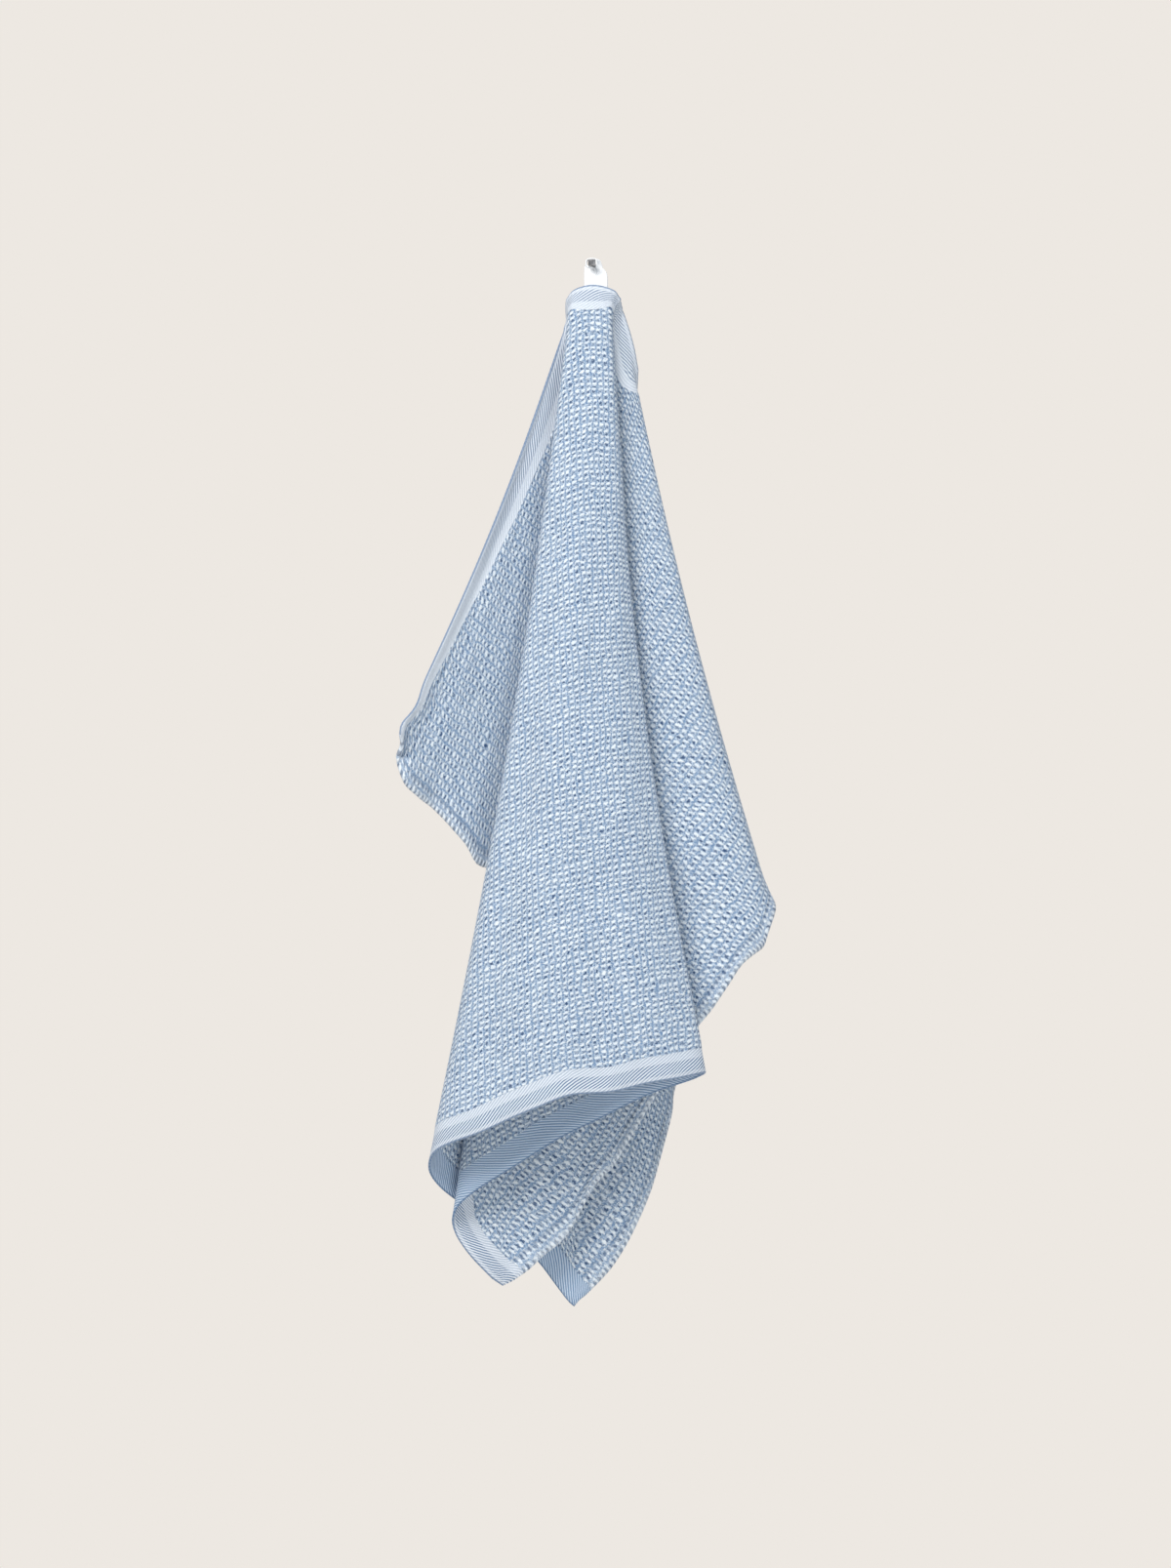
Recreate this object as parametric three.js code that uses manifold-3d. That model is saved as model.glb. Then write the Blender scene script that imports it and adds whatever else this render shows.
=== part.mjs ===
// Pale blue woven towel hung by its tape loop on a small steel wall hook.
// Millimetres, +Z up. The wall is the plane y = 0 and everything stands out from it towards -Y.
// The origin is the middle of the hook's flat wall face.
import * as THREE from "three";
import { mergeVertices } from "three/addons/utils/BufferGeometryUtils.js";
import Module from "manifold-3d";

const wasm = await Module();
wasm.setup();

// Driving dimensions
const CLOTH = { width: 600, length: 500, thickness: 2.4, columns: 96, rows: 16 };
const GATHER = { firstRows: 0.3, flarePower: 80 };
const TAPE = { width: 6.4, thickness: 1, steps: 48 };
const HOOK = {
  plateWidth: 16, plateBottom: -20, plateTop: 12, cornerRadius: 4,
  strip: 2.5, neckWidth: 4.6, neckBottom: 24, tipWidth: 4.2,
  armBottom: 39, armTop: 41.4, bendRadius: 2, armReach: 22, lipTop: 43, lipThickness: 2, easing: 1,
};
const CURVE_SEGMENTS = 5;

// Turns rows of bare numbers into records with the named columns.
function table(columns, rows) {
  const names = columns.split(" ");
  return rows.map((row) => Object.fromEntries(names.map((name, i) => [name, row[i]])));
}

// The cloth's far edge as it hangs: left selvedge, bottom band, right selvedge, with sharp corners.
// edge runs along that edge from the top left corner, out is the distance from the wall.
const LEFT_SELVEDGE = table("edge x z out", [
  [0, -118, -251, 57], // top left corner
  [31, -117, -277, 51],
  [51, -106, -289, 46],
  [101, -76, -316, 32],
  [223, -10, -394, 14],
  [316, 50, -442, 10],
  [331, 57, -455, 14], // hidden fold of the left pleat
  [346, 52, -467, 19],
  [380, 46.5, -497, 22],
  [447, 24, -561, 26],
  [500, -11, -606, 25], // bottom left corner
]);
const BOTTOM_BAND = table("edge x z out", [
  [500, -11, -606, 25],
  [540, -34, -575, 28],
  [590, -70, -547, 38],
  [627, -93, -529, 48],
  [645, -99.5, -518, 58], // left fold of the front panel
  [663, -95.5, -506, 70],
  [699, -67, -493, 84],
  [744, -27, -478, 93],
  [793, 20, -467, 89],
  [831, 56, -460, 79],
  [848, 69, -458, 69], // right fold of the front panel
  [860, 63, -462, 61],
  [928, 3, -490, 59],
  [1018, -73, -532, 58],
  [1036, -84, -544, 53], // inner fold of the right pleat
  [1050, -84, -557, 47],
  [1100, -55, -593, 41], // bottom right corner
]);
const RIGHT_SELVEDGE = table("edge x z out", [
  [1100, -55, -593, 41],
  [1160, -11, -551, 42],
  [1235, 29, -489, 44],
  [1310, 69, -424, 46],
  [1378, 107, -373, 41],
  [1396, 110, -359, 32], // right side fold
  [1415, 104, -346, 21],
  [1518, 20, -298, 5.5],
  [1600, -50, -258, 5], // top right corner
]);

// Where the folds gather along the top band, how far each line bows sideways on its way down, and
// how far the stiff band flares sideways from that line at the very top.
const TOP_EDGE = table("edge x z out bow flare", [
  [0, -15.2, 5.5, 8, 5.5, 0],
  [331, -14.6, 9.5, 10.5, 2, -1],
  [500, -13.8, 14, 13, 4, -2],
  [645, -12.3, 18.5, 16.5, 8, -3],
  [676, -9.5, 23.5, 19.3, 4.5, -1.5],
  [745, 1, 26.5, 20, 0, 0],
  [825, 9.6, 23.2, 19.5, -7.4, 4.2],
  [848, 11, 18.5, 17.5, -9.5, 6.6],
  [1036, 16, 15.5, 15, -4, 1.8],
  [1100, 18.6, 12, 13, 0, 0],
  [1220, 21.4, 2, 12, -2, 1],
  [1310, 23.6, -11.5, 11, -3.5, 2.6],
  [1396, 24.6, -25, 9, -4.5, 4],
  [1430, 25.5, -38, 6.5, -3, 2.2],
  [1600, 25.5, -55, 5.5, 0, 0],
]);

// The tape's middle line, with the turn of its width from +X towards +Y in degrees.
const TAPE_PATH = table("x z out turn", [
  [-0.9, 12, 19.6, 180], // sewn end behind the band
  [-0.9, 25, 17.7, 180],
  [-1, 31, 16.2, 172],
  [-1.3, 34.4, 15, 160],
  [-1.9, 36.2, 14, 142],
  [-3.3, 37.9, 13.3, 108],
  [-3.8, 39.4, 13, 94],
  [-3.1, 42.4, 13, 90],
  [0, 43.6, 13, 90], // over the arm
  [3.1, 42.4, 13, 90],
  [3.9, 39.4, 13, 87],
  [4.3, 37.9, 13, 66],
  [5.1, 36.2, 13.3, 36],
  [5.6, 34.4, 14.2, 20],
  [6, 31, 15.4, 10],
  [5.9, 25, 17.4, 0],
  [5.9, 12, 18.8, 0], // sewn end behind the band
]);

const MATERIALS = {
  towel: new THREE.MeshStandardMaterial({ color: 0xa9bfd9, roughness: 0.95, metalness: 0 }),
  tape: new THREE.MeshStandardMaterial({ color: 0xf4f4f2, roughness: 0.9, metalness: 0 }),
  steel: new THREE.MeshStandardMaterial({ color: 0x8a8686, roughness: 0.35, metalness: 1 }),
};

// The row before a place along the edge column, and the fraction of the way to the next row.
function locate(rows, edge) {
  let i = 0;
  while (i < rows.length - 2 && edge > rows[i + 1].edge) i += 1;
  return { i, f: (edge - rows[i].edge) / (rows[i + 1].edge - rows[i].edge) };
}

// A smooth curve through a table's points, read by its edge column.
function edgeCurve(rows) {
  const points = rows.map((row) => new THREE.Vector3(row.x, -row.out, row.z));
  const curve = new THREE.CatmullRomCurve3(points, false, "centripetal");
  return (edge) => {
    const { i, f } = locate(rows, edge);
    return curve.getPoint((i + f) / (rows.length - 1));
  };
}

// The far edge as one function of its three sides.
function farEdge() {
  const [left, bottom, right] = [LEFT_SELVEDGE, BOTTOM_BAND, RIGHT_SELVEDGE].map(edgeCurve);
  const leftEnd = CLOTH.length;
  const bottomEnd = CLOTH.length + CLOTH.width;
  return (edge) => (edge <= leftEnd ? left(edge) : edge <= bottomEnd ? bottom(edge) : right(edge));
}

// A column of a table, in straight steps between its rows.
function edgeValue(rows, column) {
  return (edge) => {
    const { i, f } = locate(rows, edge);
    return THREE.MathUtils.lerp(rows[i][column], rows[i + 1][column], f);
  };
}

// Closes a grid of points into a solid sheet, half its thickness to each side of the grid.
function sheetSolid(columns, rows, pointAt, thickness) {
  const at = (i, j) => pointAt(i / columns, j / rows);
  const stride = rows + 1;
  const count = (columns + 1) * stride;
  const positions = new Float32Array(count * 2 * 3);
  for (let i = 0; i <= columns; i += 1) {
    for (let j = 0; j <= rows; j += 1) {
      const across = at(Math.min(i + 1, columns), j).sub(at(Math.max(i - 1, 0), j));
      const down = at(i, Math.min(j + 1, rows)).sub(at(i, Math.max(j - 1, 0)));
      const half = down.cross(across).setLength(thickness / 2);
      const middle = at(i, j);
      const k = i * stride + j;
      middle.clone().add(half).toArray(positions, k * 3);
      middle.clone().sub(half).toArray(positions, (count + k) * 3);
    }
  }
  const index = [];
  const rim = (p, q) => index.push(q, p, count + p, q, count + p, count + q);
  for (let i = 0; i < columns; i += 1) {
    for (let j = 0; j < rows; j += 1) {
      const a = i * stride + j;
      const b = a + stride;
      index.push(a, a + 1, b, b, a + 1, b + 1);
      index.push(count + a, count + b, count + a + 1, count + b, count + b + 1, count + a + 1);
    }
  }
  for (let i = 0; i < columns; i += 1) {
    rim((i + 1) * stride, i * stride);
    rim(i * stride + rows, (i + 1) * stride + rows);
  }
  for (let j = 0; j < rows; j += 1) {
    rim(j, j + 1);
    rim(columns * stride + j + 1, columns * stride + j);
  }
  const geometry = new THREE.BufferGeometry();
  geometry.setAttribute("position", new THREE.BufferAttribute(positions, 3));
  geometry.setIndex(index);
  geometry.computeVertexNormals();
  return geometry;
}

// The towel: fold lines fan out from the gathered top band to the far edge, in rows that are
// closest together at the top.
function towelGeometry() {
  const top = edgeCurve(TOP_EDGE);
  const far = farEdge();
  const bow = edgeValue(TOP_EDGE, "bow");
  const flare = edgeValue(TOP_EDGE, "flare");
  const edgeLength = 2 * CLOTH.length + CLOTH.width;
  const pointAt = (across, row) => {
    const edge = across * edgeLength;
    const down = row * THREE.MathUtils.lerp(GATHER.firstRows, 1, row);
    const point = top(edge).lerp(far(edge), down);
    point.x += bow(edge) * Math.sin(Math.PI * down) + flare(edge) * (1 - down) ** GATHER.flarePower;
    return point;
  };
  return sheetSolid(CLOTH.columns, CLOTH.rows, pointAt, CLOTH.thickness);
}

// The hanging loop: a flat tape, turned on edge where it passes over the hook's arm.
function loopGeometry() {
  const points = TAPE_PATH.map((row) => new THREE.Vector3(row.x, -row.out, row.z));
  const path = new THREE.CatmullRomCurve3(points, false, "centripetal");
  const last = TAPE_PATH.length - 1;
  const pointAt = (along, across) => {
    const i = Math.min(Math.floor(along * last), last - 1);
    const turn = THREE.MathUtils.lerp(TAPE_PATH[i].turn, TAPE_PATH[i + 1].turn, along * last - i);
    const angle = THREE.MathUtils.degToRad(turn);
    const reach = (across - 0.5) * TAPE.width;
    const offset = new THREE.Vector3(Math.cos(angle), Math.sin(angle), 0).multiplyScalar(reach);
    return path.getPoint(along).add(offset);
  };
  return sheetSolid(TAPE.steps, 2, pointAt, TAPE.thickness);
}

// An extruded outline laid along the given axes, as a solid for joins and cuts.
function extrudedSolid(shape, depth, xAxis, yAxis, start) {
  const zAxis = new THREE.Vector3().crossVectors(xAxis, yAxis);
  const geometry = new THREE.ExtrudeGeometry(shape, {
    depth, bevelEnabled: false, curveSegments: CURVE_SEGMENTS,
  });
  geometry.applyMatrix4(new THREE.Matrix4().makeBasis(xAxis, yAxis, zAxis));
  geometry.translate(...start.toArray());
  geometry.deleteAttribute("normal");
  geometry.deleteAttribute("uv");
  const merged = mergeVertices(geometry);
  const vertProperties = new Float32Array(merged.attributes.position.array);
  const triVerts = new Uint32Array(merged.index.array);
  return new wasm.Manifold(new wasm.Mesh({ numProp: 3, vertProperties, triVerts }));
}

// The hook's side view: flat on the wall, bent out into an arm with a low lip at its end.
function hookSide() {
  const { strip, plateBottom, armBottom, armTop, bendRadius, armReach } = HOOK;
  const { lipTop, lipThickness, easing } = HOOK;
  const outer = bendRadius + (armTop - armBottom);
  const shape = new THREE.Shape();
  shape.moveTo(0, plateBottom);
  shape.lineTo(strip, plateBottom);
  shape.lineTo(strip, armBottom - bendRadius);
  shape.absarc(strip + bendRadius, armBottom - bendRadius, bendRadius, Math.PI, Math.PI / 2, true);
  shape.lineTo(armReach - easing, armBottom);
  shape.quadraticCurveTo(armReach, armBottom, armReach, armBottom + easing);
  shape.lineTo(armReach, lipTop);
  shape.lineTo(armReach - lipThickness, lipTop);
  shape.lineTo(armReach - lipThickness - easing, armTop);
  shape.lineTo(outer, armTop);
  shape.absarc(outer, armTop - outer, outer, Math.PI / 2, Math.PI, false);
  return shape;
}

// The hook's front view: a plate with round corners that narrows to the neck and the arm.
function hookFront() {
  const { plateBottom, plateTop, cornerRadius: r, neckBottom, lipTop } = HOOK;
  const plate = HOOK.plateWidth / 2;
  const neck = HOOK.neckWidth / 2;
  const tip = HOOK.tipWidth / 2;
  const shape = new THREE.Shape();
  shape.moveTo(-plate + r, plateBottom);
  shape.lineTo(plate - r, plateBottom);
  shape.absarc(plate - r, plateBottom + r, r, -Math.PI / 2, 0, false);
  shape.lineTo(plate, plateTop);
  shape.bezierCurveTo(plate, plateTop + r, neck, neckBottom - r, neck, neckBottom);
  shape.lineTo(tip, lipTop);
  shape.lineTo(-tip, lipTop);
  shape.lineTo(-neck, neckBottom);
  shape.bezierCurveTo(-neck, neckBottom - r, -plate, plateTop + r, -plate, plateTop);
  shape.lineTo(-plate, plateBottom + r);
  shape.absarc(-plate + r, plateBottom + r, r, Math.PI, Math.PI * 1.5, false);
  return shape;
}

// The hook: what the side and front views have in common.
function hookGeometry() {
  const X = new THREE.Vector3(1, 0, 0);
  const Z = new THREE.Vector3(0, 0, 1);
  const OUT = new THREE.Vector3(0, -1, 0);
  const halfWidth = new THREE.Vector3(HOOK.plateWidth / 2, 0, 0);
  const side = extrudedSolid(hookSide(), HOOK.plateWidth, OUT, Z, halfWidth);
  const front = extrudedSolid(hookFront(), HOOK.armReach, X, Z, new THREE.Vector3());
  const mesh = side.intersect(front).getMesh();
  const geometry = new THREE.BufferGeometry();
  geometry.setAttribute("position", new THREE.BufferAttribute(mesh.vertProperties, 3));
  geometry.setIndex(new THREE.BufferAttribute(mesh.triVerts, 1));
  geometry.computeVertexNormals();
  return geometry;
}

function namedMesh(name, geometry, material) {
  const mesh = new THREE.Mesh(geometry, material);
  mesh.name = name;
  return mesh;
}

const part = new THREE.Group();
part.add(namedMesh("towel", towelGeometry(), MATERIALS.towel));
part.add(namedMesh("hanging_loop", loopGeometry(), MATERIALS.tape));
part.add(namedMesh("hook", hookGeometry(), MATERIALS.steel));

export default part;
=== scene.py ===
# Pale blue woven towel hung by its tape loop on a small steel wall hook.
import math
from functools import partial

import bmesh
import bpy
import numpy as np
from bpy.props import FloatProperty, FloatVectorProperty, PointerProperty
from bpy.types import Operator, Panel, PropertyGroup
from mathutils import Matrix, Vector


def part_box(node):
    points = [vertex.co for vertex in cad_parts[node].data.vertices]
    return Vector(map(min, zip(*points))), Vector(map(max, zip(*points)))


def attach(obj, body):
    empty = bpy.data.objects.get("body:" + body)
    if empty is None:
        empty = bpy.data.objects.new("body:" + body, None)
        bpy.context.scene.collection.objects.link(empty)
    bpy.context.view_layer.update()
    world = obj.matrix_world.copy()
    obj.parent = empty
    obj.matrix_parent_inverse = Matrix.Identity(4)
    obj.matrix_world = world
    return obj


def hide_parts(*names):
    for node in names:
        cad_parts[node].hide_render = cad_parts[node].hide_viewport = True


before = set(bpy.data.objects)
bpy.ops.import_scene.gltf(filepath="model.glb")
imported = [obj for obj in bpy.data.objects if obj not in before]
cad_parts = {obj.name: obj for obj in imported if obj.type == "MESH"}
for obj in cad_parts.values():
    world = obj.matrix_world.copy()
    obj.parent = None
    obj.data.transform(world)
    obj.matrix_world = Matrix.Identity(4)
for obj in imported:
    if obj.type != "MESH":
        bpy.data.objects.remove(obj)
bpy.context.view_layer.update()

bl_info = {
    "name": "Towel on a hook",
    "version": (1, 0, 0),
    "blender": (4, 5, 0),
    "location": "3D View > Sidebar > Towel",
    "description": "A woven hand towel hung by its tape loop from a bent steel hook",
    "category": "Object",
}

ROOT = "root"
HOOK_LOW, HOOK_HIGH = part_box("hook")

# The cloth's far edge as it hangs, in metres: left selvedge, bottom band, right selvedge.
# Columns: place along that edge from the top left corner, x, z, distance out from the wall.
LEFT_SELVEDGE = (
    (0.000, -0.1180, -0.251, 0.0570),
    (0.031, -0.1170, -0.277, 0.0510),
    (0.051, -0.1060, -0.289, 0.0460),
    (0.101, -0.0760, -0.316, 0.0320),
    (0.223, -0.0100, -0.394, 0.0140),
    (0.316, 0.0500, -0.442, 0.0100),
    (0.331, 0.0570, -0.455, 0.0140),
    (0.346, 0.0520, -0.467, 0.0190),
    (0.380, 0.0465, -0.497, 0.0220),
    (0.447, 0.0240, -0.561, 0.0260),
    (0.500, -0.0110, -0.606, 0.0250),
)
BOTTOM_BAND = (
    (0.500, -0.0110, -0.606, 0.0250),
    (0.540, -0.0340, -0.575, 0.0280),
    (0.590, -0.0700, -0.547, 0.0380),
    (0.627, -0.0930, -0.529, 0.0480),
    (0.645, -0.0995, -0.518, 0.0580),
    (0.663, -0.0955, -0.506, 0.0700),
    (0.699, -0.0670, -0.493, 0.0840),
    (0.744, -0.0270, -0.478, 0.0930),
    (0.793, 0.0200, -0.467, 0.0890),
    (0.831, 0.0560, -0.460, 0.0790),
    (0.848, 0.0690, -0.458, 0.0690),
    (0.860, 0.0630, -0.462, 0.0610),
    (0.928, 0.0030, -0.490, 0.0590),
    (1.018, -0.0730, -0.532, 0.0580),
    (1.036, -0.0840, -0.544, 0.0530),
    (1.050, -0.0840, -0.557, 0.0470),
    (1.100, -0.0550, -0.593, 0.0410),
)
RIGHT_SELVEDGE = (
    (1.100, -0.0550, -0.593, 0.0410),
    (1.160, -0.0110, -0.551, 0.0420),
    (1.235, 0.0290, -0.489, 0.0440),
    (1.310, 0.0690, -0.424, 0.0460),
    (1.378, 0.1070, -0.373, 0.0410),
    (1.396, 0.1100, -0.359, 0.0320),
    (1.415, 0.1040, -0.346, 0.0210),
    (1.518, 0.0200, -0.298, 0.0055),
    (1.600, -0.0500, -0.258, 0.0050),
)

# Where the folds gather along the top band. Columns as above, then how far each line bows sideways
# on its way down and how far the stiff band flares sideways from that line at the very top.
TOP_EDGE = (
    (0.000, -0.0152, 0.0055, 0.0080, 0.0055, 0.0),
    (0.331, -0.0146, 0.0095, 0.0105, 0.0020, -0.0010),
    (0.500, -0.0138, 0.0140, 0.0130, 0.0040, -0.0020),
    (0.645, -0.0123, 0.0185, 0.0165, 0.0080, -0.0030),
    (0.676, -0.0095, 0.0235, 0.0193, 0.0045, -0.0015),
    (0.745, 0.0010, 0.0265, 0.0200, 0.0, 0.0),
    (0.825, 0.0096, 0.0232, 0.0195, -0.0074, 0.0042),
    (0.848, 0.0110, 0.0185, 0.0175, -0.0095, 0.0066),
    (1.036, 0.0160, 0.0155, 0.0150, -0.0040, 0.0018),
    (1.100, 0.0186, 0.0120, 0.0130, 0.0, 0.0),
    (1.220, 0.0214, 0.0020, 0.0120, -0.0020, 0.0010),
    (1.310, 0.0236, -0.0115, 0.0110, -0.0035, 0.0026),
    (1.396, 0.0246, -0.0250, 0.0090, -0.0045, 0.0040),
    (1.430, 0.0255, -0.0380, 0.0065, -0.0030, 0.0022),
    (1.600, 0.0255, -0.0550, 0.0055, 0.0, 0.0),
)

# How soon that flare dies away below the edge.
FLARE_POWER = 80

# The middle of the top edge and three of the folds, as places along the far edge.
TOP_MIDDLE = 0.745
FRONT_LEFT, FRONT_RIGHT, SIDE_FOLD = 0.645, 0.848, 1.396

# The front panel's top band narrows towards its folds: distances from the edge grow by this share.
BAND_NARROWING = 0.8

# How much of the left band faces the front. Columns: place across the flat cloth, share of its width.
LEFT_BAND = ((-0.300, 0.22), (-0.260, 0.40), (-0.206, 0.66), (-0.107, 1.0))

# Fold tips along the far edge, where the mesh is closer.
FOLD_TIPS = (0.040, 0.331, 0.645, 0.848, 1.036, 1.396)
TIP_REACH = 0.020
TIP_DENSITY = 2.2
EDGE_SAMPLES = 2000
SIDE_COLUMNS = (126, 168, 126)
CLOTH_ROWS = 108

# Uneven waves at the cloth's edge. Columns: place along the far edge, half length, how deep they
# reach into the cloth, lift to the face side, pull outwards.
EDGE_WAVES = (
    (0.003, 0.008, 0.016, 0.0030, 0.0006),
    (0.020, 0.009, 0.012, -0.0024, -0.0008),
    (0.040, 0.010, 0.014, 0.0024, 0.0006),
    (0.066, 0.009, 0.012, -0.0016, -0.0012),
    (0.092, 0.010, 0.012, 0.0016, 0.0020),
    (0.114, 0.013, 0.014, 0.0010, 0.0070),
    (0.360, 0.010, 0.010, 0.0012, 0.0010),
    (0.386, 0.011, 0.010, -0.0012, -0.0010),
    (0.412, 0.010, 0.011, 0.0016, 0.0012),
    (0.440, 0.012, 0.010, -0.0014, -0.0010),
    (0.468, 0.010, 0.011, 0.0016, 0.0010),
    (0.498, 0.006, 0.009, -0.0014, -0.0024),
    (0.524, 0.012, 0.014, 0.0014, 0.0008),
    (0.562, 0.013, 0.014, -0.0012, -0.0006),
    (0.694, 0.014, 0.020, 0.0012, 0.0006),
    (0.726, 0.016, 0.022, -0.0012, -0.0016),
    (0.757, 0.018, 0.024, 0.0012, -0.0038),
    (0.786, 0.010, 0.020, 0.0010, 0.0003),
    (0.806, 0.013, 0.020, -0.0010, -0.0008),
    (0.900, 0.028, 0.018, 0.0010, -0.0034),
    (0.950, 0.026, 0.018, -0.0010, -0.0032),
    (1.072, 0.012, 0.014, 0.0014, 0.0008),
    (1.100, 0.006, 0.010, -0.0014, -0.0030),
    (1.122, 0.010, 0.012, 0.0018, 0.0014),
    (1.150, 0.012, 0.014, 0.0006, 0.0028),
    (1.182, 0.015, 0.016, 0.0020, -0.0056),
    (1.206, 0.010, 0.012, -0.0014, 0.0010),
    (1.228, 0.011, 0.012, 0.0014, 0.0012),
    (1.290, 0.011, 0.011, 0.0012, -0.0016),
    (1.318, 0.010, 0.011, -0.0012, 0.0014),
    (1.346, 0.009, 0.012, 0.0014, -0.0020),
    (1.371, 0.010, 0.012, -0.0008, 0.0034),
    (1.397, 0.012, 0.010, 0.0026, 0.0002),
    (1.450, 0.014, 0.012, 0.0006, 0.0010),
    (1.494, 0.013, 0.012, -0.0005, -0.0008),
    (1.570, 0.014, 0.012, 0.0005, 0.0010),
)

# Lumps of the drawn-up left corner, on the far edge up to LUMPED_EDGE. Columns: x, z, reach, then the
# push in x, z and out from the wall.
LUMPS = (
    (-0.1095, -0.2320, 0.010, 0.0018, 0.0000, -0.0010),
    (-0.1145, -0.2455, 0.007, -0.0028, 0.0006, 0.0016),
    (-0.1150, -0.2600, 0.005, 0.0008, 0.0000, -0.0012),
    (-0.1150, -0.2730, 0.007, 0.0010, 0.0000, 0.0016),
)
LUMPED_EDGE = 0.13

# The drawn-up left corner. Columns: place along the far edge, flat distance down the selvedge.
DRAWN_CORNER = ((0.0, 0.0), (0.033, 0.017), (0.080, 0.062), (0.150, 0.138), (0.250, 0.245), (0.500, 0.500))

# Soft troughs and ridges in the hung cloth. Columns: both ends in the flat cloth as (across from
# the middle, down from the top edge), half width, lift to the face side.
CREASES = (
    (-0.016, 0.090, -0.058, 0.430, 0.016, 0.0022),
    (0.016, 0.120, 0.034, 0.440, 0.014, -0.0018),
    (-0.050, 0.240, -0.104, 0.470, 0.013, -0.0016),
    (-0.004, 0.260, 0.004, 0.470, 0.012, 0.0014),
    (-0.112, 0.040, -0.224, 0.108, 0.010, 0.0014),
    (-0.092, 0.062, -0.200, 0.160, 0.012, -0.0014),
    (0.120, 0.100, 0.236, 0.232, 0.014, 0.0016),
    (0.100, 0.130, 0.206, 0.300, 0.012, -0.0014),
    (0.258, 0.330, 0.276, 0.470, 0.010, 0.0016),
    (0.226, 0.390, 0.248, 0.480, 0.010, -0.0014),
)

# How a crease fades in at either end, in shares of its length.
CREASE_FADE = (-0.1, 0.25)

# Where the thickness changes, as distances in from the inner side of a band or selvedge, and how far
# the selvedge's roll reaches in from the edge.
BODY_FADE = (-0.003, 0.002)
ROLL_FADE = (-0.004, 0.004)
ROLL_REACH = 0.003

# The tape's middle line. Columns: x, z, distance out from the wall, turn of its width in degrees,
# share of its width where it crumples round the arm.
TAPE_PATH = (
    (-0.0009, 0.0120, 0.0196, 180, 1.00),
    (-0.0009, 0.0250, 0.0177, 180, 1.00),
    (-0.0009, 0.0310, 0.0166, 176, 1.00),
    (-0.0009, 0.0350, 0.0156, 172, 1.00),
    (-0.0010, 0.0370, 0.0148, 166, 0.98),
    (-0.0016, 0.0382, 0.0140, 148, 0.92),
    (-0.0031, 0.0389, 0.0134, 112, 0.75),
    (-0.0034, 0.0398, 0.0131, 94, 0.62),
    (-0.0030, 0.0429, 0.0130, 90, 0.60),
    (0.0000, 0.0437, 0.0130, 88, 0.60),
    (0.0036, 0.0429, 0.0130, 62, 0.60),
    (0.0043, 0.0404, 0.0130, 42, 0.60),
    (0.0044, 0.0390, 0.0131, 34, 0.64),
    (0.0044, 0.0378, 0.0133, 26, 0.74),
    (0.0052, 0.0362, 0.0143, 18, 0.86),
    (0.0057, 0.0344, 0.0153, 10, 0.96),
    (0.0059, 0.0310, 0.0166, 4, 1.00),
    (0.0060, 0.0250, 0.0177, 0, 1.00),
    (0.0060, 0.0120, 0.0192, 0, 1.00),
)
TAPE_STEPS = 140
TAPE_LANES = 10

# UV maps: places in the flat cloth, and the same with true distances from the banded edges.
CLOTH_MAP = "flat_cloth"
BAND_MAP = "band_cloth"

# How far from a banded edge its true distances reach, and how far along it a point looks for them.
BAND_REACH = 0.025
BAND_WINDOW = 0.024

# Slanted ovals in each cell of the weave. Columns: centre across and down, half width, half height.
FLOAT_OVAL = (0.50, 0.34, 0.47, 0.205)
# The holes' oval is where shade is painted at their bottom.
HOLE_OVAL = (0.48, 0.84, 0.26, 0.18)
TICK_OVAL = (0.0, 0.84, 0.22, 0.12)
OVAL_SLANT = math.radians(18)

# Soft edges, from nothing to full: of an oval, in shares of its size, and of a column line, in cells.
OVAL_EDGE = (1.12, 0.82)
COLUMN_EDGE = (0.18, 0.06)

# Scales of the cloth's noise, for places in metres.
DRIFT_SCALE, TREMOR_SCALE, GRIT_SCALE, MOTTLE_SCALE = 70.0, 420.0, 1250.0, 24.0
FIBRE_SCALE = (900.0, 2200.0)

# How far noise and chance move the weave, in cells.
DRIFT_ACROSS, DRIFT_DOWN, TREMOR, CHANCE, GRIT = 1.1, 1.3, 0.5, 0.18, 0.6

# Diagonal lines of the twill bands, which fade to the left between two places across the flat cloth.
TWILL_PITCH = 0.0015
TWILL_SLANT = math.radians(30)
TWILL_WANDER = 0.0010
TWILL_FADE = (-0.15, -0.23)

# The bolder middle of a band, in shares of its width: its place, where it ends and where it is full.
BOLD_PLACE, BOLD_END, BOLD_FULL = 0.40, 0.28, 0.20

# A band's uneven inner side and the line along its edge, then the selvedge's inner side, roll and groove.
BAND_WANDER, BAND_BLUR = 0.0012, 0.0003
RIM_LINE = (0.0006, 0.0001)
SELVEDGE_BLUR = 0.0004
ROLL_EDGE = (0.0030, 0.0018)
GROOVE_EDGE = (0.0011, 0.0004)

# Spacing of the tape's ribs and of its lengthwise threads.
RIB_PITCH, THREAD_PITCH = 0.0006, 0.0009

# Scales of the steel's noise: fine across the strip and long the other ways, then its clouds.
GRAIN_FINE, GRAIN_LONG, CLOUD_SCALE = 2600.0, 160.0, 120.0


# Kinds of property for the groups: a length in metres and a colour.
Length = partial(FloatProperty, unit="LENGTH")
Tint = partial(FloatVectorProperty, subtype="COLOR", min=0, max=1)


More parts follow.
